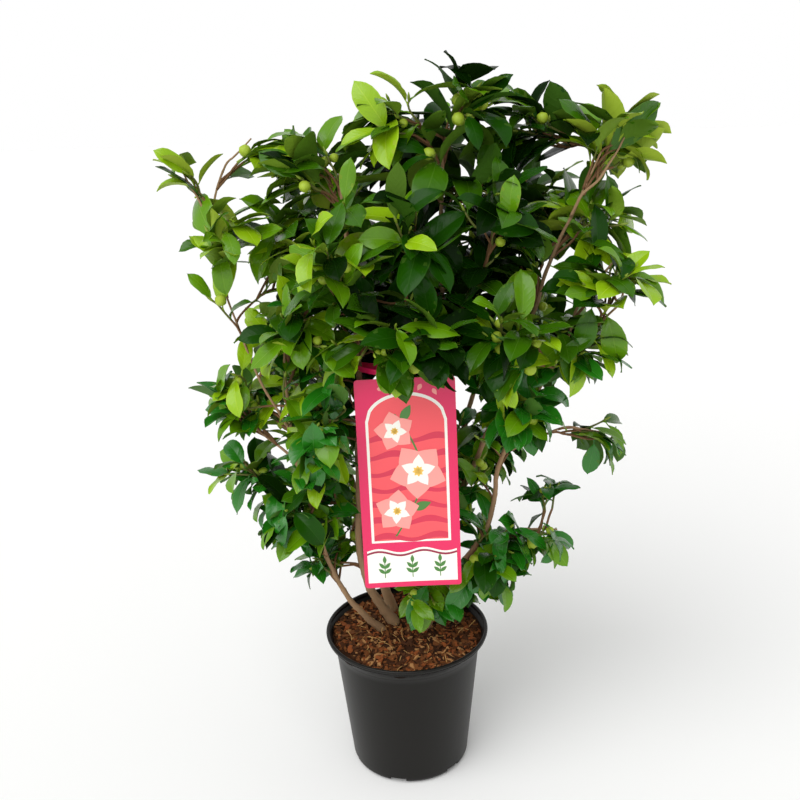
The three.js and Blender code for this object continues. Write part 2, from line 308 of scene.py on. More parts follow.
def centre_line(node, foot):
    """Centres and radii of a CAD limb's rings, from the end that is nearer to foot."""
    places = np.array([v.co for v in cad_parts[node].data.vertices], float)
    places = np.unique(np.round(places, 6), axis=0)
    middle = places.mean(axis=0)
    way = np.linalg.svd(places - middle, full_matrices=False)[2][0]
    along = (places - middle) @ way
    order = np.argsort(along)
    breaks = np.flatnonzero(np.diff(along[order]) > RING_GAP) + 1
    rings = [places[ring] for ring in np.split(order, breaks) if len(ring) >= 3]
    centres = np.array([ring.mean(axis=0) for ring in rings])
    radii = np.array([norm(ring - ring.mean(axis=0), axis=1).mean() for ring in rings])
    if norm(centres[0] - foot) > norm(centres[-1] - foot):
        centres, radii = centres[::-1], radii[::-1]
    # The rings at the ends are cut at a slant, so their radii come from the rings beside them.
    radii[0] = min(radii[0], radii[1] * FOOT_SPREAD)
    radii[-1] = min(radii[-1], radii[-2])
    return centres, radii


def grown_on(centres, radii):
    """A limb with a slim end that runs on into the nearest mass of leaves."""
    ahead = unit(centres[-1] - centres[-2])
    gaps = norm((centres[-1] + ahead * LOOK_AHEAD - mass_centre) / mass_reach, axis=1)
    inward = mass_centre[np.argmin(gaps)] - centres[-1]
    way = unit(ahead + 1.2 * unit(inward))
    reach = min(RUN_ON, norm(inward) + 10 * MM)
    ends = [centres[-1] + way * reach * share for share in RUN_ON_SHARES]
    slim = [radii[-1] + (TIP_RADIUS - radii[-1]) * share for share in RUN_ON_TAPER]
    return np.vstack([centres, ends]), np.concatenate([radii, slim])


limbs = {name: centre_line(name, HEART) for name in LIMBS}
for name in LIMBS:
    if name != PRUNED:
        limbs[name] = grown_on(*limbs[name])

# ---- bark on stems and boughs

BARK_SIDES = 14
BARK_STEP = 3.2 * MM
WANDER = 1.2 * MM  # how far a limb strays from the CAD's smooth curve
WANDER_PITCH = 70 * MM
WANDER_EASE = 20 * MM  # it strays less this near to its ends
FOOT_FLARE = 0.1
FLARE_LENGTH = 9 * MM
SCAR_GAPS = (18 * MM, 34 * MM)
SCAR_SWELL = 0.13
SCAR_WIDTH = 1.6 * MM
MOST_SCARS = 40
LUMPS, LUMP_PITCH = 0.055, 9 * MM
CRACKS, CRACK_PITCH = 0.05, 2.6 * MM
SLIMMING = 0.25  # limbs are this much slimmer than the CAD's plain tubes, but not at a stem's foot
SLIM_FROM = 110 * MM
ROOTED = 4 * MM  # how far a limb starts inside the soil or the limb that bears it

bark = Finish("camellia bark", (156, 126, 94), 0.85, specular=0.25).grain(900, 0.6 * MM, 0.8)
cut_wood = Finish("pruned end", (186, 158, 120), 0.8, specular=0.25).grain(700, 0.3 * MM)


def bark_tube(centres, radii, seed, flare):
    """A limb with lumps, shallow cracks and the rings of old leaf scars."""
    path, share = smooth_path(centres, BARK_STEP)
    run = run_along(path)
    rule = np.random.default_rng(seed)
    scars = np.cumsum(rule.uniform(*SCAR_GAPS, MOST_SCARS))
    swell = sum(SCAR_SWELL * np.exp(-(((run - scar) / SCAR_WIDTH) ** 2)) for scar in scars)
    girth = girths(centres, radii, share) * (1 + flare * np.exp(-run / FLARE_LENGTH)) * (1 + swell)
    wander = np.stack([waves(path, WANDER_PITCH, seed + k, 2) for k in range(3)], axis=1)
    ease = np.clip(np.minimum(run, run[-1] - run) / WANDER_EASE, 0, 1)[:, None]
    path = path + wander * ease * WANDER
    points, faces = tube(path, girth, BARK_SIDES)
    rings = points[:-2]
    centre = np.repeat(path, BARK_SIDES, axis=0)
    cracks = waves(rings * [1, 1, 0.25], CRACK_PITCH, seed + 9, 2)
    relief = LUMPS * waves(rings, LUMP_PITCH, seed + 7) + CRACKS * cracks
    points[:-2] = rings + (rings - centre) * relief[:, None]
    return points, faces


for number, name in enumerate(LIMBS):
    centres, radii = limbs[name]
    run = run_along(centres) if name in STEMS else SLIM_FROM
    radii = radii * (1 - SLIMMING * np.clip(run / SLIM_FROM, 0, 1))
    back = UP if name in STEMS else unit(centres[1] - centres[0])
    centres = np.vstack([centres[0] - back * ROOTED, centres])
    radii = np.concatenate([radii[:1], radii])
    points, faces = bark_tube(centres, radii, 100 + 10 * number, FOOT_FLARE if name in STEMS else 0.0)
    wood = Bundle().add(points, faces, [0, 0, int(name == PRUNED)])
    wood.piece("bark_" + name, [bark, cut_wood], "bark", [name])

# ---- where shoots end

dice = np.random.default_rng(99)

LOW_SHOOT_ROOM = 12.5 * MM  # the wider a mass for this, the more shoots it holds
HIGH_SHOOT_ROOM = 18 * MM  # the same at the crown's top, where shoots are fewer and leaves larger
FEWEST_SHOOTS = 5
MOST_SHOOTS = 20
SHOOT_SPACING = 22 * MM
SHOOT_TRIES = 600
CLOSER_AFTER, CLOSER_BY = 40, 0.85  # after so many tries, shoots may stand closer by this factor
TIP_DEPTH = 29 * MM  # tips keep this far inside a mass, which leaves room for their leaves
LEAST_ROOM = 0.4
LEADER_DEPTH = 44 * MM
SIDE_TIP_DEPTH = 9 * MM
CROWN_AXIS = np.array([0.015, 0.02])

# Little sprays on a bare stretch of bough: the bough, how far along it, and the way each one points.
STRAYS = (("bough_left_shoot", 0.3, (-0.8, -0.4, 0.05)), ("bough_left_shoot", 0.62, (-0.5, -0.4, 0.35)))
STRAY_LENGTH = 20 * MM
STRAY_REACH = 27 * MM

strays = []
for name, share, way in STRAYS:
    path, shares = smooth_path(limbs[name][0], 4 * MM)
    strays.append((path[np.searchsorted(shares, share)] + unit(way) * STRAY_LENGTH, unit(way)))
mass_centre = np.vstack([mass_centre, [tip for tip, _ in strays]])
mass_reach = np.vstack([mass_reach, np.full((len(STRAYS), 3), STRAY_REACH)])
all_wood = np.vstack([smooth_path(limbs[name][0], 10 * MM)[0] for name in LIMBS])


def height_share(points):
    """0 at the crown's foot, 1 at its top."""
    return np.clip((np.asarray(points)[..., 2] - crown_low[2]) / (crown_high[2] - crown_low[2]), 0, 1)


def from_axis(points):
    """Level vectors from the crown's axis to each point."""
    gap = np.array(points, float)
    gap[..., :2] -= CROWN_AXIS
    gap[..., 2] = 0
    return gap


def shoot_tips(centre, reach):
    """Tips spread through one mass, apart from each other, each with the way it points."""
    high = height_share(centre)
    each = (LOW_SHOOT_ROOM + (HIGH_SHOOT_ROOM - LOW_SHOOT_ROOM) * high) ** 2
    want = int(np.clip(round(np.prod(reach) ** (2 / 3) / each), FEWEST_SHOOTS, MOST_SHOOTS))
    wood = all_wood[np.argmin(norm(all_wood - centre, axis=1))]
    rise = 0.3 + 0.7 * high**2
    lean = 0.5 * unit(centre - wood) + 0.5 * unit(from_axis(centre)) + UP * rise
    room = np.maximum(reach - TIP_DEPTH, LEAST_ROOM * reach)
    leader = unit(lean)
    found = [(centre + leader * (1 / norm(leader / reach) - LEADER_DEPTH), leader)]
    spacing = SHOOT_SPACING
    for attempt in range(SHOOT_TRIES):
        if len(found) == want:
            break
        if attempt % CLOSER_AFTER == CLOSER_AFTER - 1:
            spacing *= CLOSER_BY
        spread = unit(dice.normal(size=3))
        tip = centre + spread * room * dice.uniform(0.4, 1.1)
        way = unit(lean + 0.9 * spread + 0.6 * dice.normal(size=3))
        if all(norm(tip - other) > spacing for other, _ in found):
            found.append((tip, way))
    return found


CORE_MIDDLE = np.array([8, 20, 465]) * MM
CORE_REACH = np.array([142, 124, 220]) * MM
CORE_MARGIN = 24 * MM  # masses run together by this much deep in the crown
CORE_SHOOTS = 62
CORE_SPACING = 30 * MM
BETWEEN_MARGIN = 5 * MM

TONGUE_HEIGHT = 9 * MM
card_low, card_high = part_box("picture_card")
CARD_TOP = card_high.z - TONGUE_HEIGHT
SIGHT_SLOPE = 0.33  # the card is kept in sight from the front and this much above
SIGHT_BELOW = 8 * MM
SIGHT_BEHIND = 26 * MM
# Stretches of the card's top edge that leaves hang over: their share of its width, and how far down.
OVERHANGS = ((0.24, 0.62, 24 * MM), (0.74, 1.1, 9 * MM))
# Sprays that hang over the card's top edge: how far along it, how far above it, and the way they point.
CARD_SPRAYS = (
    (0.1, 22 * MM, (-0.5, -0.5, -0.2)),
    (0.3, 20 * MM, (-0.3, -0.5, -0.5)),
    (0.48, 16 * MM, (0.1, -0.35, -0.9)),
    (0.85, 20 * MM, (0.3, -0.4, -0.75)),
)
CARD_SPRAY_AHEAD = 12 * MM
SIDE_SHOOT_STEP = 11 * MM
SIDE_SHOOT_LENGTHS = (28, 62)  # in millimetres
LOWEST_SIDE_SHOOT = SOIL_TOP + 75 * MM
SPARSE_ABOVE = 0.6  # over this share of the crown's height, every other side shoot is left out


def in_masses(points, margin):
    """Which points lie within a margin of some mass, between two that nearly meet, or deep in the crown."""
    gap = points[..., None, :] - mass_centre
    near = lambda reach: (((gap / (mass_reach + reach)) ** 2).sum(axis=-1) < 1).sum(axis=-1)
    deep = (((points - CORE_MIDDLE) / CORE_REACH) ** 2).sum(axis=-1) < 1
    return (near(margin) > 0) | (near(BETWEEN_MARGIN) > 1) | (deep & (near(CORE_MARGIN) > 0))


def hides_card(points):
    """Which points come between the card and someone in front of it who looks down a little."""
    ahead = np.maximum(card_low.y - points[..., 1], 0)
    seen_at = points[..., 2] - SIGHT_SLOPE * ahead
    share = (points[..., 0] - card_low.x) / (card_high.x - card_low.x)
    top = np.full(share.shape, CARD_TOP)
    for start, end, depth in OVERHANGS:
        top[(share > start) & (share < end)] = CARD_TOP - depth
    over_card = (share > -0.01) & (share < 1.01) & (seen_at > card_low.z - SIGHT_BELOW) & (seen_at < top)
    return over_card & (points[..., 1] < card_low.y + SIGHT_BEHIND)


def side_shoots(centres):
    """Short shoots that stand round a limb in a spiral: their tips and the ways they point."""
    path, _ = smooth_path(centres, SIDE_SHOOT_STEP)
    made = []
    for number, (point, way) in enumerate(zip(path, tangents(path))):
        turn = number * GOLDEN_ANGLE + dice.normal() * 0.3
        first = across(np.array([0.2, 1.0, 0.1]), way)
        away = first * math.cos(turn) + np.cross(way, first) * math.sin(turn)
        away = unit(away + 0.6 * unit(from_axis(point)))
        length = dice.uniform(*SIDE_SHOOT_LENGTHS) * MM
        if point[2] > LOWEST_SIDE_SHOOT and (number % 2 or height_share(point) < SPARSE_ABOVE):
            made.append((point + unit(away + 0.55 * way) * length, unit(away + 0.5 * UP)))
    return made


def core_shoots():
    """Shoots spread evenly through the crown's inside, so that the masses run together there."""
    made = []
    for _ in range(40 * CORE_SHOOTS):
        tip = CORE_MIDDLE + unit(dice.normal(size=3)) * CORE_REACH * dice.uniform(0.2, 1.0)
        spaced = all(norm(tip - other) > CORE_SPACING for other, _ in made)
        if spaced and in_masses(tip, -SIDE_TIP_DEPTH):
            made.append((tip, unit(0.4 * unit(from_axis(tip)) + 0.5 * UP + 0.6 * dice.normal(size=3))))
        if len(made) == CORE_SHOOTS:
            break
    return made


shoots = []
for centre, reach in zip(mass_centre[:len(MASSES)], mass_reach):
    shoots += shoot_tips(centre, reach)
shoots += core_shoots() + strays
for share, rise, way in CARD_SPRAYS:
    x = card_low.x + share * (card_high.x - card_low.x)
    shoots.append((np.array([x, card_low.y - CARD_SPRAY_AHEAD, card_high.z + rise]), unit(way)))
for name in LIMBS:
    shoots += side_shoots(limbs[name][0])
tips = np.array([tip for tip, _ in shoots])
wanted = in_masses(tips, -SIDE_TIP_DEPTH) & ~hides_card(tips)
tips = tips[wanted]
tip_way = np.array([way for _, way in shoots])[wanted]

# ---- the branching rule

TWIG_STEP = 4 * MM
TWIG_SIDES = 7
LOWEST_TWIG = SOIL_TOP + 22 * MM
SHORTEST_TWIG = 46 * MM
STOCK_RADIUS = 1.6 * MM  # a twig's own radius, where another grows from it
# What makes a joint unlikely, against the twig's length: a drop, a way back, and being too short.
DROP_COST, BACK_COST, SHORT_COST = 1.6, 0.5, 4
KINK_PITCH, KINK_REACH = 38 * MM, 5

wood_points, wood_ways, wood_girth, wood_twig = [], [], [], []


def offer(points, ways, radii, twig):
    """Adds places from which further twigs may grow."""
    wood_points.extend(points)
    wood_ways.extend(ways)
    wood_girth.extend(radii)
    wood_twig.extend([twig] * len(points))


for name in LIMBS:
    path, share = smooth_path(limbs[name][0], 6 * MM)
    high = path[:, 2] > LOWEST_TWIG
    offer(path[high], tangents(path)[high], girths(*limbs[name], share)[high], -1)


def joining_cost(points, ways, tip):
    """How unlikely it is that a twig to this tip leaves the wood at each point."""
    gap = tip - points
    length = norm(gap, axis=1)
    drop = np.maximum(-gap[:, 2], 0)
    back = np.maximum(-np.sum(unit(gap) * ways, axis=1), 0)
    short = np.maximum(SHORTEST_TWIG - length, 0)
    return length + DROP_COST * drop + BACK_COST * back * length + SHORT_COST * short


def twig_path(start, way, tip, arrival, seed):
    """A bent, slightly kinked line from the wood to a shoot's tip."""
    gap = tip - start
    length = norm(gap)
    leave = unit(0.5 * way + 0.9 * unit(gap) + 0.15 * UP) * length * 0.9
    arrive = arrival * length * 0.7
    t = np.linspace(0, 1, max(5, int(length / TWIG_STEP)))[:, None]
    path = (2 * t**3 - 3 * t**2 + 1) * start + (t**3 - 2 * t**2 + t) * leave
    path += (3 * t**2 - 2 * t**3) * tip + (t**3 - t**2) * arrive
    kinks = np.stack([waves(path, KINK_PITCH, seed + k, 1) for k in range(3)], axis=1)
    return path + kinks * np.minimum(t, 1 - t) * KINK_REACH * MM


limb_points = np.array(wood_points)
nearness = np.array([norm(limb_points - tip, axis=1).min() for tip in tips])
twigs = []
for number in np.argsort(nearness):
    at = int(np.argmin(joining_cost(np.array(wood_points), np.array(wood_ways), tips[number])))
    path = twig_path(wood_points[at], wood_ways[at], tips[number], tip_way[number], 500 + int(number))
    twigs.append({"path": path, "from": wood_twig[at], "stock": wood_girth[at]})
    inner = slice(3, len(path) - 3)
    offer(path[inner], tangents(path)[inner], [STOCK_RADIUS] * len(path[inner]), len(twigs) - 1)

# ---- the shape of a leaf

LEAF_ROWS = np.array([0, 0.05, 0.14, 0.27, 0.42, 0.57, 0.71, 0.82, 0.9, 0.95, 1.0])
LEAF_HALF = np.array([0.06, 0.23, 0.55, 0.84, 0.98, 1.0, 0.9, 0.68, 0.4, 0.18, 0.0])
TOP_COLUMNS = np.array([-1, -0.92, -0.5, -0.04, 0.04, 0.5, 0.92, 1])
PALE_STRIPS = (0, 3, 6)  # the midrib, and the two margins as a painted highlight along the rims, by the column where each starts
UNDER_COLUMNS = np.array([-1, -0.55, 0, 0.55, 1])
LEAF_THICK = 0.45 * MM
RIB_THICK = 0.5 * MM
# What a leaf is drawn between: its length before it grows on, its width as a share of that, its arch and
# fold in radians, and how far its sides roll back.
LEAF_RANGES = {
    "length": (32 * MM, 50 * MM), "width": (0.4, 0.53), "arch": (0.3, 1.4), "fold": (0.1, 0.5),
    "recurve": (0.0, 0.35),
}
LEAF_TWIST = 0.28
LEAF_BEND = 0.06
RUFFLES = (0.2, 1.2)  # in millimetres
STALKS = (5 * MM, 8 * MM)
NEWEST_GROWTH = np.array([0.82, 0.93, 1.0])  # how far a shoot's two newest leaves, and the rest, have grown


def leaf_faces():
    """Faces of one leaf, upper side and then underside, and the material number of each."""
    upper = grid_faces(len(LEAF_ROWS), len(TOP_COLUMNS))
    under = grid_faces(len(LEAF_ROWS), len(UNDER_COLUMNS))[:, ::-1] + len(LEAF_ROWS) * len(TOP_COLUMNS)
    pale = np.isin(np.arange(len(upper)) % (len(TOP_COLUMNS) - 1), PALE_STRIPS)
    return np.vstack([upper, under]), np.concatenate([pale, np.full(len(under), 2)])


def blade(a, columns, upper):
    """Points of every leaf at each row and column, on its upper side or its underside."""
    t = LEAF_ROWS[None, :, None]
    s = columns[None, None, :]
    keys = (*LEAF_RANGES, "twist", "bend", "ruffle", "phase")
    length, width, arch, fold, recurve, twist, bend, ruffle, phase = (a[key][:, None, None] for key in keys)
    x = s * width / 2 * LEAF_HALF[None, :, None]
    forward = np.sin(arch * t) / arch * length
    sink = (1 - np.cos(arch * t)) / arch * length
    lift = np.tan(fold) * np.abs(x) - recurve * x**2 / (width / 2)
    lift = lift + ruffle * s**2 * np.sin(t * 11 + phase + s * 2.1)
    if not upper:
        lift = lift - LEAF_THICK * (1 - s**4) - RIB_THICK * (1 - t) * (s == 0)
    spin = twist * t
    flat = x * np.cos(spin) - lift * np.sin(spin) + bend * length * t**2
    lift = x * np.sin(spin) + lift * np.cos(spin)
    forward = forward + lift * np.sin(arch * t)
    rise = lift * np.cos(arch * t) - sink
    base, way, face = (a[key][:, None, None, :] for key in ("base", "way", "face"))
    return base + way * forward[..., None] + face * rise[..., None] + np.cross(way, face) * flat[..., None]


# ---- where leaves grow

LEAF_OFFSETS = np.array([1, 6, 14, 24, 35, 47, 60, 74, 89]) * MM  # from the shoot's tip back
# Each tone's gloss, and its colours for blade, for midrib and margins, and for underside. The tones are
# lit and shaded copies of the leaf green: the darker ones are painted shade, the lighter ones painted
# light, and the lightest also have the yellow-green of young leaves.
LEAF_LOOKS = {
    "young": (0.4, (140, 180, 16), (154, 188, 30), (150, 174, 46)),
    "fresh": (0.4, (92, 140, 6), (102, 146, 14), (112, 144, 34)),
    "cool": (0.6, (32, 112, 16), (44, 118, 24), (74, 118, 38)),
    "mid": (0.3, (54, 100, 4), (62, 106, 10), (82, 118, 26)),
    "deep": (0.14, (24, 68, 2), (31, 74, 6), (52, 88, 18)),
    "dark": (0.06, (10, 34, 2), (14, 40, 4), (28, 54, 10)),
}
TONES = tuple(LEAF_LOOKS)
TRIES = 6
# How far a leaf's tip, the middle of its blade and its sides may stand out of the masses.
TIP_MARGIN = 12 * MM
RIB_MARGIN = 0 * MM
SIDE_MARGIN = 3 * MM
SOIL_GAP = 8 * MM
RIM_GAP = 4 * MM
LEVELLING = 0.65  # how far the leaves of a level shoot spread to its two sides only
SPLAYS = (12, 100)  # least and most angle between shoot and leaf, in degrees
SMALLER_BY = 0.04  # share of its size that a leaf loses at each further attempt to fit it in
SHADED_SHARE = 1.15  # shoots within this share of the crown's core have shed their inner leaves
SHADED_LEAVES = 4
FULL_LEAVES = 4  # a short shoot has these at least
# The tones paint light and shade. Their darkest point lies inside the crown, towards its side away from the
# light.
SHADE_MIDDLE = np.array([48, 30, 552]) * MM  # painted shade: sprays get their darkest tones here, and lighter ones, painted light, all round it
SHADE_REACH = np.array([168, 260, 186]) * MM
LIGHTEST = 1.15
SPRAY_SPREAD, LEAF_SPREAD = 0.25, 0.8  # how much the light on sprays, and on their leaves, is varied
LIGHT_STEPS, LIGHT_START = 3.5, 0.45  # from light to the five steps of brightness
COOL_BELOW = 0.45  # share of the crown's height under which mid green turns cooler
# Painted shade low in the crown: how much the light value of sprays under that height drops.
LOW_DIMMING = 0.17


def leaf_slots(twig, rule):
    """The places along one twig where leaves join it, from its tip back, each with the shoot's own axis."""
    path = twig["path"]
    run = run_along(path)
    ways = tangents(path)
    side = across(rule.normal(size=3), ways[-1])
    phase = rule.uniform(0, TURN)
    shaded = norm((path[-1] - CORE_MIDDLE) / CORE_REACH) < SHADED_SHARE
    slots = []
    for order, offset in enumerate(LEAF_OFFSETS * rule.uniform(0.8, 1.2, len(LEAF_OFFSETS))):
        past_foot = offset > run[-1] * 0.86 - 4 * MM and order >= FULL_LEAVES
        if past_foot or shaded and order == SHADED_LEAVES:
            break
        at = run[-1] - offset
        slot = {"joint": sample(path, run, at), "axis": unit(sample(ways, run, at)), "side": side}
        slots.append({**slot, "turn": phase + order * GOLDEN_ANGLE, "offset": offset, "order": order})
    return slots


def shape_leaves(slots, rule, attempt):
    """Directions and sizes for a leaf in each slot. Later attempts vary them more and make them smaller."""
    count = len(slots["joint"])
    axis = slots["axis"]
    first = across(slots["side"], axis)
    second = np.cross(axis, first)
    turn = (slots["turn"] + rule.normal(size=count) * (0.6 + 0.5 * attempt))[:, None]
    away = first * np.cos(turn) + second * np.sin(turn)
    level = 1 - np.abs(axis[:, 2])
    away = unit(away - LEVELLING * (level * away[:, 2])[:, None] * UP)
    offset = slots["offset"] / MM
    high = height_share(slots["joint"])
    # Degrees between shoot and leaf: fewer at the crown's top, and more for leaves further down the shoot.
    splay = 50 - 20 * high + 0.7 * offset + rule.normal(size=count) * (17 + 4 * attempt)
    splay = np.radians(np.clip(splay, *SPLAYS))[:, None]
    droop = 0.6 * (1 - high) ** 2 + 0.003 * offset + rule.uniform(-0.3, 0.35, count)
    a = {"way": unit(axis * np.cos(splay) + away * np.sin(splay) - UP * droop[:, None])}
    face = 0.2 * axis + UP + 0.25 * unit(from_axis(slots["joint"]))
    a["face"] = across(face + rule.normal(size=(count, 3)) * 0.35, a["way"])
    growth = NEWEST_GROWTH[np.minimum(slots["order"], 2)]
    growth *= (1 - SMALLER_BY * attempt) * (0.9 + 0.34 * high + 0.32 * high**4)
    for key, ends in LEAF_RANGES.items():
        a[key] = rule.uniform(*ends, count)
    a["length"] *= growth
    a["width"] *= a["length"]
    a["twist"] = rule.normal(size=count) * LEAF_TWIST
    a["bend"] = rule.normal(size=count) * LEAF_BEND
    a["ruffle"] = rule.uniform(*RUFFLES, count) * MM
    a["phase"] = rule.uniform(0, TURN, count)
    leave = unit(axis * 0.6 + a["way"])
    stalk = rule.uniform(*STALKS, count)[:, None]
    a["knee"] = slots["joint"] + leave * stalk / 2
    a["base"] = a["knee"] + a["way"] * stalk / 2
    return a


def fits_crown(top):
    """Which leaves keep their midrib and their sides within the masses."""
    sides = top[:, [3, 5]][:, :, [0, -1]].reshape(len(top), -1, 3)
    ribs = in_masses(top[:, 4, 3], RIB_MARGIN) & in_masses(top[:, -1, 3], TIP_MARGIN)
    return ribs & in_masses(sides, SIDE_MARGIN).all(axis=1)


def stands_clear(top):
    """Which leaves stay off the soil and the pot's rim, under the top, and out of sight of the card."""
    spots = top.reshape(len(top), -1, 3)
    radius = norm(spots[..., :2], axis=-1)
    on_soil = (spots[..., 2] < SOIL_TOP + SOIL_GAP) & (radius < pot_high.x + RIM_GAP)
    too_high = spots[..., 2] > crown_high[2]
    return ~(on_soil | too_high | hides_card(spots)).any(axis=1)


def tones_of(tip, slots, rule):
    """The tone of each leaf, as painted light and shade: by spray, dark in the crown and bright outside, and
    deeper down the shoot.
    """
    light = min(norm((tip - SHADE_MIDDLE) / SHADE_REACH), LIGHTEST) + rule.normal() * SPRAY_SPREAD
    steps = ["dark", "deep", "mid", "fresh", "young"]
    if height_share(tip) + rule.normal() * 0.1 < COOL_BELOW:
        steps[2:] = ["cool", "cool", "fresh"]
        light -= LOW_DIMMING
    brightness = light * LIGHT_STEPS - LIGHT_START
    chosen = []
    for slot in slots:
        # Leaves further back from the tip step down: painted shade deeper in the crown, and the darker green
        # of older leaves.
        step = brightness - (slot["order"] > 3) - (slot["order"] > 6) + rule.normal() * LEAF_SPREAD
        chosen.append(TONES.index(steps[int(np.clip(round(step), 0, 4))]))
    return chosen


rule = np.random.default_rng(41)
all_slots, tones = [], []
for number, twig in enumerate(twigs):
    slots = leaf_slots(twig, rule)
    all_slots += [{**slot, "twig": number} for slot in slots]
    tones += tones_of(twig["path"][-1], slots, rule)
slots = {key: np.array([slot[key] for slot in all_slots]) for key in all_slots[0]}
slots["tone"] = np.array(tones)

grown = []  # one dictionary of arrays for each attempt
for attempt in range(TRIES):
    a = shape_leaves(slots, rule, attempt)
    for key in ("joint", "tone", "twig"):
        a[key] = slots[key]
    top = blade(a, TOP_COLUMNS, True)
    good = fits_crown(top) & stands_clear(top)
    grown.append({key: value[good] for key, value in a.items()})
    slots = {key: value[~good] for key, value in slots.items()}
leaves = {key: np.concatenate([part[key] for part in grown]) for key in grown[0]}

# ---- twigs

TWIG_GAIN = 0.3 * MM  # what a twig's foot gains in radius for what it bears
THINNEST_STOCK = 1.2 * MM
TWIG_UNEVEN = 0.12
GREEN_LENGTH = 26 * MM  # the end of a twig that is still green

for number, bears in enumerate(np.bincount(leaves["twig"], minlength=len(twigs))):
    twigs[number]["load"] = int(bears > 1)
for twig in reversed(twigs):
    if twig["from"] >= 0:
        twigs[twig["from"]]["load"] += twig["load"]

twig_bark = Finish("twig bark", (116, 84, 54), 0.75, specular=0.3).grain(1100, 0.3 * MM)
green_bark = Finish("young twig", (98, 104, 42), 0.6, specular=0.4)

wood = Bundle()
for number, twig in enumerate(twigs):
    path = twig["path"]
    if not twig["load"]:
        continue
    foot = min(TIP_RADIUS + TWIG_GAIN * math.sqrt(twig["load"]), max(twig["stock"] * 0.9, THINNEST_STOCK))
    share = np.linspace(0, 1, len(path))
    radii = foot + (TIP_RADIUS - foot) * share**0.8
    radii = radii * (1 + TWIG_UNEVEN * waves(path, 11 * MM, 900 + number, 2))
    points, faces = tube(path, radii, TWIG_SIDES)
    from_tip = (1 - share[:-1]) * run_along(path)[-1]
    wood.add(points, faces, [np.repeat(from_tip < GREEN_LENGTH, TWIG_SIDES), 0, 1])
wood.piece("twigs", [twig_bark, green_bark], "bark")

# ---- leaves as meshes

STALK_RADII = np.array([1.05, 0.85, 0.45]) * MM
STALK_SIDES = 4
STALK_OVERLAP = 2.5  # in millimetres, how far it runs on under the blade
quads, quad_marks = leaf_faces()
leaf_uvs = np.vstack([
    np.stack(np.meshgrid(columns / 2 + 0.5, LEAF_ROWS), axis=-1).reshape(-1, 2)
    for columns in (TOP_COLUMNS, UNDER_COLUMNS)
])
# Every mass is stood for by the leaves of one tone, the one most of its leaves have.
home = np.argmin((((leaves["base"][:, None] - mass_centre) / mass_reach) ** 2).sum(axis=-1), axis=1)
main_tone = [np.bincount(leaves["tone"][home == number]).argmax() for number in range(len(MASSES))]

for number, tone in enumerate(TONES):
    a = {key: value[leaves["tone"] == number] for key, value in leaves.items()}
    count = len(a["base"])
    sides = [blade(a, TOP_COLUMNS, True), blade(a, UNDER_COLUMNS, False)]
    points = np.concatenate([side.reshape(count, -1, 3) for side in sides], axis=1)
    faces = quads[None] + np.arange(count)[:, None, None] * points.shape[1]
    bundle = Bundle()
    bundle.add(points, [faces.reshape(-1, 4)], [np.tile(quad_marks, count)], np.tile(leaf_uvs, (count, 1)))
    ends = a["base"] + a["way"] * STALK_OVERLAP * MM - a["face"] * 0.5 * MM
    for start, knee, end in zip(a["joint"], a["knee"], ends):
        bundle.add(*tube(np.array([start, knee, end]), STALK_RADII, STALK_SIDES), 1)
    gloss, blade_colour, rib_and_rim_highlight_colour, back_colour = LEAF_LOOKS[tone]
    finishes = [
        Finish("leaf " + tone, blade_colour, 0.27, specular=gloss).veins(0.06 * MM),
        # This finish colours the midrib and also the margins, where its paler green is a painted highlight
        # along the rims.
        Finish("leaf rib and rim highlight " + tone, rib_and_rim_highlight_colour, 0.4, specular=gloss),
        Finish("leaf back " + tone, back_colour, 0.6, specular=0.6 * gloss).veins(0.1 * MM),
    ]
    stands_for = [name for name, main in zip(MASSES, main_tone) if main == number]
    bundle.piece("leaves_" + tone, finishes, "leaves", stands_for)

# ---- buds

BUD_SHARE = 0.26  # of shoots that carry flower buds
BUD_SIZES = (7.5, 12.5)  # across, in millimetres
BUD_ROWS = 11
BUD_SIDES = 10
BUD_SEAM = (0.31, 0.22, 0.9)
SHOOT_BUDS = (6, 10)  # how long the slim bud is that ends a shoot, in millimetres
SHOOT_BUD_RUN = np.array([[0], [0.3], [0.6], [1]])
SHOOT_BUD_RADII = np.array([0.9, 1.35, 1.15, 0.3]) * MM
SHOOT_BUD_SIDES = 6

bud_green = Finish("flower bud", (160, 184, 48), 0.5, specular=0.4)
bud_scale = Finish("bud scale", (118, 138, 36), 0.55, specular=0.4)
shoot_bud = Finish("shoot bud", (128, 150, 44), 0.5, specular=0.4)


def flower_bud(foot, way, size):
    """A round bud with overlapping scales: each band of scales ends in a small step."""
    share = np.linspace(0.04, 0.985, BUD_ROWS)
    swell = np.sin(math.pi * share) ** 0.62
    scale = np.arange(BUD_ROWS) % 3
    step = np.where(scale == 0, 0.97, 1.0 + 0.01 * scale)
    path = foot + size * 1.08 * share[:, None] * way
    points, faces = tube(path, size / 2 * swell * step, BUD_SIDES, BUD_SEAM)
    points += 0.25 * MM * waves(points, 6 * MM, int(rule.integers(1000)), 1)[:, None] * way
    band = np.repeat(np.arange(BUD_ROWS - 1) < 2, BUD_SIDES)
    buds.add(points, faces, [band, 1, 0])


rule = np.random.default_rng(23)
buds = Bundle()
for twig in twigs:
    tip, before = twig["path"][-1], twig["path"][-3]
    way = unit(tip - before)
    if not twig["load"]:
        continue
    length = rule.uniform(*SHOOT_BUDS) * MM
    buds.add(*tube(tip + way * SHOOT_BUD_RUN * length, SHOOT_BUD_RADII, SHOOT_BUD_SIDES, BUD_SEAM), 2)
    if rule.uniform() < BUD_SHARE:
        for _ in range(rule.integers(1, 3)):
            lean = unit(way * 0.4 + across(rule.normal(size=3), way) - UP * 0.1)
            foot = tip - way * rule.uniform(2, 9) * MM
            flower_bud(foot + lean * 0.5 * MM, lean, rule.uniform(*BUD_SIZES) * MM)
buds.piece("buds", [bud_green, bud_scale, shoot_bud], "leaves")

# ---- pot

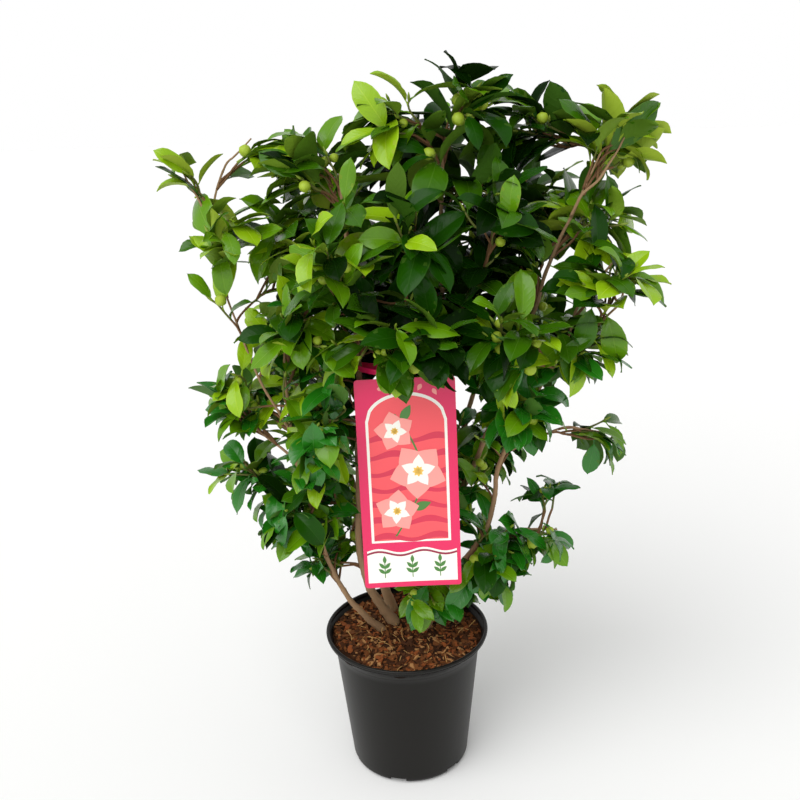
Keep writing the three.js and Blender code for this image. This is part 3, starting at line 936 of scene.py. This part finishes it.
POT_SIDES = 192
LIP_DEPTH = 4 * MM
LIP_ROUND = 1.9 * MM
COLLAR_DEPTH = 16 * MM
COLLAR_RADIUS = 75.5 * MM
FOOT_RADIUS = 62 * MM
FOOT_ROUND = 7 * MM
WALL = 1.8 * MM
WALL_HEIGHTS = (12, 20, 60, 100, 130)  # in millimetres, where the section has a point
INNER_HEIGHTS = (130, 60, 12)
UNDERSIDE = 6.5 * MM  # how far it is raised inside the ring of the foot
POT_FLOOR = 8.5 * MM
NOTCHES = 6
FIRST_NOTCH = math.radians(-104)
NOTCH_WIDTH = 18 * MM
NOTCH_HEIGHT = 6.5 * MM
NOTCH_INNER = 50 * MM
NOTCH_DEPTH = 20 * MM
POT_SHARP = 38
HALVES = (-0.5, 0.5)
BOX_FACES = ((0, 1, 3, 2), (4, 6, 7, 5), (0, 4, 5, 1), (2, 3, 7, 6), (0, 2, 6, 4), (1, 5, 7, 3))


def arc(centre, radius, start, end, steps):
    """Points of a circular arc in the plane of radius and height, between two angles in degrees."""
    turn = np.radians(np.linspace(start, end, steps))
    return np.stack([centre[0] + radius * np.cos(turn), centre[1] + radius * np.sin(turn)], axis=1)


def pot_profile():
    """The pot's section, from the middle of its underside up the outside, over the lip and down inside."""
    collar = pot_high.z - COLLAR_DEPTH
    slope = (COLLAR_RADIUS - FOOT_RADIUS) / (collar - FOOT_ROUND)
    wall_at = lambda height: FOOT_RADIUS + slope * (height - FOOT_ROUND)

    def flank(shares, least, shift):
        """The flared collar at shares of the way up to the lip."""
        flare = [(pot_high.x - COLLAR_RADIUS) * (least + (0.9 * s**1.7)) for s in shares]
        rise = [collar + (COLLAR_DEPTH - LIP_DEPTH) * s for s in shares]
        return [[COLLAR_RADIUS + wide + shift, high] for wide, high in zip(flare, rise)]

    return np.array([
        [0.0, UNDERSIDE], [NOTCH_INNER, UNDERSIDE], [NOTCH_INNER + 1.5 * MM, 0],
        *arc([FOOT_RADIUS - FOOT_ROUND, FOOT_ROUND], FOOT_ROUND, -90, -4, 8),
        *[[wall_at(h * MM), h * MM] for h in WALL_HEIGHTS],
        [wall_at(collar - 1 * MM), collar - 1 * MM],
        [wall_at(collar) + 0.7 * MM, collar],
        [wall_at(collar) + 0.8 * MM, collar + 1.2 * MM],
        *flank(np.linspace(0.2, 0.93, 6), 0.1, 0),
        *arc([pot_high.x - LIP_ROUND, pot_high.z - LIP_ROUND], LIP_ROUND, -70, 200, 12),
        *flank(np.linspace(0.9, 0.1, 5), 0, -0.4 * MM),
        *[[wall_at(h * MM) - WALL, h * MM] for h in INNER_HEIGHTS],
        [FOOT_RADIUS - FOOT_ROUND, POT_FLOOR], [0.0, POT_FLOOR],
    ])


def box_cutter(places, size):
    """Boxes of one size, each placed by a matrix, for a cut. They aren't part of the shrub."""
    corners = [(x, y, z) for x in HALVES for y in HALVES for z in HALVES]
    points = [place @ (Vector(corner) * size) for place in places for corner in corners]
    faces = [[8 * number + corner for corner in face] for number in range(len(places)) for face in BOX_FACES]
    mesh = bpy.data.meshes.new("notches")
    mesh.from_pydata(points, [], faces)
    return new_object("notches", mesh)


pot_plastic = Finish("pot plastic", (14, 12, 8), 0.42, specular=0.25).grain(240, 0.12 * MM, 0.45)
points, faces = turned(pot_profile(), POT_SIDES)
pot = Bundle().add(points, [faces], 0).piece("pot_shell", [pot_plastic], "pot", ["pot"])
notch_at = Matrix.Translation((NOTCH_INNER + NOTCH_DEPTH / 2, 0, 0))
turns = [Matrix.Rotation(FIRST_NOTCH + k * TURN / NOTCHES, 4, "Z") for k in range(NOTCHES)]
cut = pot.modifiers.new("notches", "BOOLEAN")
cut.operation = "DIFFERENCE"
cut.solver = "EXACT"
size = Vector((NOTCH_DEPTH, NOTCH_WIDTH, 2 * NOTCH_HEIGHT))
cut.object = box_cutter([turn @ notch_at for turn in turns], size)
bpy.context.view_layer.update()
notched = bpy.data.meshes.new_from_object(pot.evaluated_get(bpy.context.evaluated_depsgraph_get()))
bpy.data.objects.remove(cut.object)
pot.modifiers.clear()
pot.data = notched
pot.data.set_sharp_from_angle(angle=math.radians(POT_SHARP))

# ---- soil

SOIL_RINGS = 30
SOIL_SIDES = 96
CHIPS = 1500
CHIP_ODDS = (0.3, 0.38, 0.2, 0.12)  # of the first four tones
CHIP_SECTION = np.array([[-1, -1], [1, -1], [1, 1], [-1, 1]])
FIBRES = 60
FIBRE_POINTS = 7
FIBRE_SIDES = 5
CHIP_TONES = {
    "dark bark chip": (74, 42, 20), "brown bark chip": (112, 66, 32), "red bark chip": (142, 78, 38),
    "tan bark chip": (166, 120, 74), "fibre": (192, 150, 92),
}

soil_radius = COLLAR_RADIUS + 4.2 * MM
rule = np.random.default_rng(41)


def soil_height(points):
    """Height of the uneven top of the mulch."""
    flat = np.asarray(points, float) * [1, 1, 0]
    return SOIL_TOP + (-1.5 + 1.6 * waves(flat, 45 * MM, 3, 2) + waves(flat, 11 * MM, 5, 2)) * MM


def chip(bundle, centre, long_way, flat_way, size, tone):
    """A splintered, slightly bent slab of bark."""
    side = np.cross(flat_way, long_way)
    t = np.array([-0.5, -0.2, 0.15, 0.5])
    shape = [rule.uniform(0.35, 0.8), 1, rule.uniform(0.8, 1), rule.uniform(0.2, 0.7)]
    bow = rule.uniform(-0.25, 0.25) * size[0] * (t**2 - 0.1)
    rings = []
    for along, girth, rise in zip(t, shape, bow):
        spots = CHIP_SECTION * rule.uniform(0.7, 1.1, (4, 2)) / 2
        ring = centre + long_way * along * size[0] + side * spots[:, :1] * size[1] * girth
        rings.append(ring + flat_way * (spots[:, 1:] * size[2] + rise))
    bundle.add(rings, [grid_faces(4, 4, ring=True), [[3, 2, 1, 0]], [[12, 13, 14, 15]]], tone)


def on_soil(reach):
    """A random place on the mulch, within a share of its radius."""
    bearing = rule.uniform(0, TURN)
    radius = soil_radius * reach * math.sqrt(rule.uniform())
    place = np.array([radius * math.cos(bearing), radius * math.sin(bearing), 0])
    place[2] = soil_height(place[None])[0]
    return place


radii = np.linspace(1.0, 0.0, SOIL_RINGS) ** 0.8 * soil_radius
points, faces = turned(np.stack([radii, 0 * radii], axis=1), SOIL_SIDES)
points[:, 2] = soil_height(points)
mulch = Finish("mulch", (58, 34, 19), 0.95, specular=0.15).grain(420, 1.5 * MM)
Bundle().add(points, [faces], 0).piece("mulch", [mulch], "soil", ["potting_soil"])

chips = Bundle()
for _ in range(CHIPS):
    long_way = unit(rule.normal(size=3) * [1, 1, 0.3])
    flat_way = across(UP + rule.normal(size=3) * 0.38, long_way)
    length = 2.5 * MM + rule.gamma(2.0, 1.7) * MM
    width = min(length * rule.uniform(0.3, 0.8), 6 * MM)
    size = (min(length, 13 * MM), width, rule.uniform(0.6, 2.2) * MM)
    place = on_soil(0.955) + UP * rule.uniform(-0.6, 1.6) * MM
    chip(chips, place, long_way, flat_way, size, int(rule.choice(4, p=CHIP_ODDS)))
for _ in range(FIBRES):
    way = unit(rule.normal(size=3) * [1, 1, 0.15])
    length = rule.uniform(6, 20) * MM
    start = on_soil(0.8) + UP * rule.uniform(1.0, 2.4) * MM
    bend = across(rule.normal(size=3), way) * [1, 1, 0.25] * length * 0.3
    t = np.linspace(0, 1, FIBRE_POINTS)[:, None]
    path = start + way * t * length + bend * t * (1 - t) * 2
    if norm(path[:, :2], axis=1).max() < soil_radius * 0.97:
        radii = np.full(FIBRE_POINTS, rule.uniform(0.25, 0.5) * MM)
        chips.add(*tube(path, radii, FIBRE_SIDES), len(CHIP_TONES) - 1)
looks = [Finish(name, colour, 0.88, specular=0.2) for name, colour in CHIP_TONES.items()]
chips.piece("bark_chips", [look.grain(700, 0.4 * MM) for look in looks], "soil", sharp=35)

# ---- picture card

CARD_WIDTH = 91 * MM
CARD_HEIGHT = 202 * MM
CARD_THICKNESS = 0.8 * MM
CARD_CORNER = 3 * MM
CARD_TURN = math.radians(0.75)
CARD_LEAN = math.radians(5)
CARD_BOW = 1.2 * MM  # how far its middle stands back
CARD_RISE = 0.6 * MM
TONGUE_SHIFT = -10 * MM
TONGUE_WIDTH = 10 * MM
LAYER = 0.06 * MM  # height of one printed layer over the next
BACK_LAYER = -CARD_THICKNESS / LAYER
PRINT_COLUMNS, PLATE_COLUMNS = 9, 13
PINK, CORAL, ROSE, BLUSH, CREAM, LEAF, GOLD, DEEP = range(8)
CARD_COLOURS = {
    "pink": (228, 26, 92), "coral": (246, 84, 92), "rose": (214, 44, 76), "blush": (252, 158, 150),
    "cream": (248, 246, 236), "leaf": (70, 128, 52), "gold": (244, 196, 84), "deep": (150, 20, 62),
}

card_middle = Vector((
    (card_low.x + card_high.x) / 2,
    card_low.y + CARD_HEIGHT / 2 * math.sin(CARD_LEAN) + CARD_THICKNESS / 2,
    card_low.z + CARD_HEIGHT / 2 * math.cos(CARD_LEAN) + CARD_RISE,
))
card_place = (
    Matrix.Translation(card_middle)
    @ Matrix.Rotation(-CARD_TURN, 4, "Y")
    @ Matrix.Rotation(math.pi / 2 - CARD_LEAN, 4, "X")
)
card = Bundle()


def on_card(flat, layer):
    """Points of a flat figure, as millimetres right and up from the card's middle, on a printed layer."""
    flat = np.asarray(flat, float) * MM
    bow = CARD_BOW * ((flat[:, 0] / CARD_WIDTH * 2) ** 2 - 0.4)
    bow = bow * np.clip(1.2 - np.abs(flat[:, 1]) / CARD_HEIGHT, 0, 1)
    lift = CARD_THICKNESS / 2 + layer * LAYER - CARD_BOW * 0.6 + bow
    placed = np.column_stack([flat, lift, np.ones(len(flat))]) @ np.array(card_place).T
    return placed[:, :3]


def edge(x, y):
    """Points of one edge of a figure, from where they are across and up."""
    return np.stack(np.broadcast_arrays(x, y), axis=1).astype(float)


def between(left, right, columns):
    """The points of a flat grid between two edges with as many points each."""
    steps = np.linspace(0, 1, columns)[None, :, None]
    return (left[:, None] * (1 - steps) + right[:, None] * steps).reshape(-1, 2)


def printed(left, right, ink, layer):
    """Prints the strip of a figure between two edges."""
    flat = between(left, right, PRINT_COLUMNS)
    card.add(on_card(flat, layer), [grid_faces(len(left), PRINT_COLUMNS)], ink)


def plate(left, right, front):
    """A closed part of the card's board between two edges, from a layer to its back."""
    rows, columns = len(left), PLATE_COLUMNS
    total = rows * columns
    flat = between(left, right, columns)
    quads = grid_faces(rows, columns)
    around = np.concatenate([
        np.arange(columns), np.arange(2, rows) * columns - 1, total - 1 - np.arange(columns),
        np.arange(rows - 2, 0, -1) * columns,
    ])
    after = np.roll(around, -1)
    rim = np.stack([around + total, after + total, after, around], axis=1)
    points = np.vstack([on_card(flat, front), on_card(flat, BACK_LAYER)])
    card.add(points, [quads, quads[:, ::-1] + total, rim], PINK)


def petal(centre, angle, length, width, points=12, blunt=0.75):
    """Left and right edges of a petal or leaf that leaves a centre at an angle in degrees."""
    t = np.linspace(0, 1, points)
    half = width / 2 * np.sin(math.pi * t**blunt)
    turn = math.radians(angle)
    way = np.array([math.cos(turn), math.sin(turn)])
    side = np.array([way[1], -way[0]])
    spine = np.array(centre) + t[:, None] * length * way
    return spine - side * half[:, None], spine + side * half[:, None]


def rounded_panel(centre, size, corner, steps=5):
    """Left and right edges of a panel with round corners, from its foot to its top."""
    turn = np.linspace(0, math.pi / 2, steps)
    inset = corner * (1 - np.sin(turn))
    rise = corner * (1 - np.cos(turn))
    heights = centre[1] + np.concatenate([rise, size[1] - rise[::-1]]) - size[1] / 2
    half = size[0] / 2 - np.concatenate([inset, inset[::-1]])
    return edge(centre[0] - half, heights), edge(centre[0] + half, heights)


def blossom(centre, size, turn):
    """A simple open flower: five broad petals, five smaller ones, and a golden middle."""
    for k in range(5):
        printed(*petal(centre, turn + 72 * k, size, size * 0.92), BLUSH, 8 + 0.2 * k)
    for k in range(5):
        printed(*petal(centre, turn + 36 + 72 * k, size * 0.6, size * 0.4), CREAM, 9.2 + 0.2 * k)
    for k in range(8):
        printed(*petal(centre, turn + 45 * k, size * 0.2, size * 0.13, 6), GOLD, 10.4)


half_wide, half_high = CARD_WIDTH / MM / 2, CARD_HEIGHT / MM / 2
board_edge, _ = rounded_panel((0, 0), (2 * half_wide, 2 * half_high), CARD_CORNER / MM)
heights = np.union1d(board_edge[:, 1], np.linspace(-0.96, 0.96, 32) * half_high)
left = edge(np.interp(heights, board_edge[:, 1], board_edge[:, 0]), heights)
plate(left, left * [-1, 1], 0)
heights = np.linspace(half_high - 3, half_high + TONGUE_HEIGHT / MM, 5)
left = edge(TONGUE_SHIFT / MM - TONGUE_WIDTH / MM / 2, heights)
plate(left, left + [TONGUE_WIDTH / MM, 0], -0.5)

# The printed figures, in millimetres from the card's middle: an arched window with a sprig in flower, over
# a cream foot with three leaf sprigs. A window has a half width, its arch's spring and rise, and a foot.
WINDOWS = ((37, 62, 26, -56, CREAM, 1), (34.5, 61, 24, -54, CORAL, 2))
SPRIG_LEAVES = ((0.1, 150), (0.22, 20), (0.42, 165), (0.6, 35), (0.8, 150), (0.93, 60))
BLOSSOMS = (((-12, -25), 21, 12), ((9, 13), 27, 50), ((-11, 52), 19, 30))
SMALL_LEAVES = ((5, 40), (5, 140), (10, 48), (10, 132), (15, 90))

t = np.linspace(0, 1, 25)
for half, spring, rise, foot, ink, layer in WINDOWS:
    window = -half + 2 * half * t
    arch_top = spring + rise * np.sqrt(np.clip(1 - (2 * t - 1) ** 2, 0, 1))
    printed(edge(window, arch_top), edge(window, foot), ink, layer)
for k in range(7):
    lower = -54 + 16 * k
    ripple = 3 * np.sin(t * 9 + k)
    crest, trough = np.minimum(lower + 5 + ripple, arch_top), np.minimum(lower + ripple * 0.6, arch_top)
    printed(edge(window, crest), edge(window, trough), ROSE, 3)
stem_x = -14 + 26 * np.sin(t * 3.0)
stem_y = -50 + 118 * t
printed(edge(stem_x - 0.9, stem_y), edge(stem_x + 0.9, stem_y), LEAF, 5)
for share, angle in SPRIG_LEAVES:
    foot = (np.interp(share, t, stem_x), np.interp(share, t, stem_y))
    printed(*petal(foot, angle, 19, 8.5, blunt=0.9), LEAF, 6)
for centre, size, turn in BLOSSOMS:
    blossom(centre, size, turn)
wave = 2.2 * np.sin(t * 12.5)
foot_x = -42 + 84 * t
printed(edge(foot_x, -64 + wave), edge(foot_x, -96), CREAM, 1)
printed(edge(foot_x, -66 + wave), edge(foot_x, -68 + wave), DEEP, 3)
for k in range(3):
    foot = np.array([-26.0 + 26 * k, -92.0])
    printed(*rounded_panel(foot + [0, 9], (0.8, 17), 0.3), LEAF, 3)
    for rise, angle in SMALL_LEAVES:
        printed(*petal(foot + [0, rise], angle, 8, 3.4, blunt=0.9), LEAF, 4)
for k in range(6):
    printed(*petal((-25 + 10 * k, 92 + 3 * math.sin(2.0 * k)), 60 * k, 7, 4), BLUSH, 2)
card_inks = [Finish("card " + name, colour, 0.3, coat=0.25) for name, colour in CARD_COLOURS.items()]
card.piece("picture_card_print", card_inks, "card", ["picture_card"], sharp=40)

# The strap: a loose ring that runs from the tongue round the front stem.
STRAP_HALF_HIGH = 2.5 * MM
STRAP_HALF_WIDE = 7 * MM
STRAP_SLACK = 5 * MM
STRAP_STEPS = 48
STRAP_SECTION = ((1, -1), (1, 1), (-1, 1), (-1, -1))

rise = CARD_HEIGHT / 2 + TONGUE_HEIGHT - STRAP_HALF_HIGH - 1 * MM
start = np.array(card_place @ Vector((TONGUE_SHIFT, rise, 0)))
stem = limbs["stem_front"][0]
round_stem = sample(stem, stem[:, 2], start[2])
gap = (round_stem - start) * [1, 1, 0]
reach = (norm(gap) + STRAP_SLACK) / 2
way = unit(gap)
side = np.cross(UP, way)
turn = np.linspace(0, TURN, STRAP_STEPS, endpoint=False)[:, None]
loop = start + way * reach * (1 - np.cos(turn)) + side * STRAP_HALF_WIDE * np.sin(turn)
outward = unit(way * -np.cos(turn) * STRAP_HALF_WIDE + side * np.sin(turn) * reach)
corners = [loop + outward * a * CARD_THICKNESS / 2 + UP * b * STRAP_HALF_HIGH for a, b in STRAP_SECTION]
faces = grid_faces(STRAP_STEPS, 4, ring=True, loop=True)[:, ::-1]
strap = Bundle().add(np.stack(corners, axis=1), [faces], 0)
strap.piece("card_strap", [card_inks[PINK]], "card", sharp=40)

# ---- floor, light and camera

FLOOR_HALF = 8
# The studio's walls shine at To Min and its ceiling at To Max, and in between the one turns into the other.
STUDIO = {"From Min": 0.1, "From Max": 0.55, "To Min": 1.0, "To Max": 0.58}
KEY_FROM = (-0.45, -0.6, 0.85)
KEY_SPREAD = 58
KEY_STRENGTH = 2.0
CAMERA_SPOT = (0.0007, -0.914, 0.723)
CAMERA_DOWN = 19.3
CAMERA_ROLL = -1.91
LENS, SENSOR = 45, 36

floor_mesh = bpy.data.meshes.new("floor")
floor_corners = [(x * FLOOR_HALF, y * FLOOR_HALF, 0) for x, y in ((-1, -1), (1, -1), (1, 1), (-1, 1))]
floor_mesh.from_pydata(floor_corners, [], [(0, 1, 2, 3)])
floor = new_object("floor", floor_mesh)
floor_mesh.materials.append(Finish("floor", (247, 247, 246), 0.9, specular=0.1).material)

world = bpy.data.worlds.new("studio")
world.use_nodes = True
tree = world.node_tree
way = add_node(tree, "ShaderNodeTexCoord", output="Generated")
height = add_node(tree, "ShaderNodeSeparateXYZ", {0: way}, "Z")
light = add_node(tree, "ShaderNodeMapRange", {"Value": height, **STUDIO}, interpolation_type="SMOOTHSTEP")
tree.links.new(light, tree.nodes["Background"].inputs["Strength"])
tree.nodes["Background"].inputs["Color"].default_value = (1, 1, 1, 1)
bpy.context.scene.world = world

# A wide, even light from the upper left.
key = new_object("key", bpy.data.lights.new("key", "SUN"))
key.data.angle = math.radians(KEY_SPREAD)
key.data.energy = KEY_STRENGTH
key.rotation_mode = "QUATERNION"
key.rotation_quaternion = Vector(KEY_FROM).to_track_quat("Z", "Y")

camera = new_object("camera", bpy.data.cameras.new("camera"))
camera.data.lens = LENS
camera.data.sensor_width = SENSOR
camera.matrix_world = (
    Matrix.Translation(CAMERA_SPOT)
    @ Matrix.Rotation(math.radians(90 - CAMERA_DOWN), 4, "X")
    @ Matrix.Rotation(math.radians(CAMERA_ROLL), 4, "Z")
)
bpy.context.scene.camera = camera
bpy.context.scene.view_settings.view_transform = "Standard"
